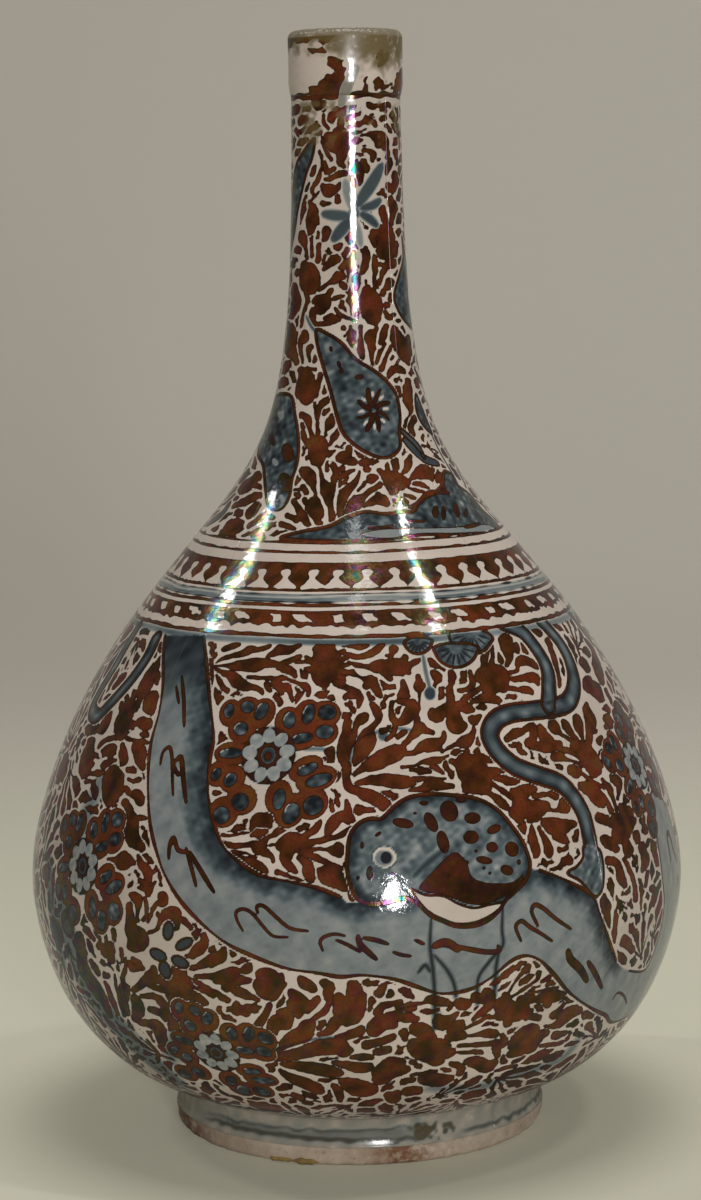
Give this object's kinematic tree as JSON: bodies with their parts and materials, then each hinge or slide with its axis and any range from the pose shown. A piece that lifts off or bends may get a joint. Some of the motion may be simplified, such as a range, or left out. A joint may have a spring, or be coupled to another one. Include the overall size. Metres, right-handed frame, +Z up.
{
  "type": "ceramic bottle",
  "caption": "Pear-shaped bottle of glazed stonepaste with a tall narrow neck, a plain collar and a low foot ring, painted all over in brown lustre and blue.",
  "frame": {"origin": "centre of the foot ring's flat underside, on the surface that the bottle stands on", "axes": "+Z up along the bottle's axis to its mouth, -Y to the side with the painted bird, +X to the right of that side"},
  "size_m": [0.1802, 0.1802, 0.3],
  "materials": {
    "clay": "matte, unglazed and slightly pink where it is bare",
    "slip": "matte",
    "painted_glaze": "glossy cream glaze painted in brown lustre and two blues",
    "worn_glaze": "glossy cream glaze, stained and worn"
  },
  "bodies": {
    "root": {"foot_ring": "clay", "foot_slip": "slip", "lower_bowl": "clay", "belly_slip": "slip", "shoulder": "clay", "neck_slip": "slip", "neck": "clay", "collar_slip": "slip", "mouth_collar": "clay", "outer_glaze": "painted_glaze", "mouth_glaze": "worn_glaze", "recess_glaze": "worn_glaze"}
  },
  "joints": []
}
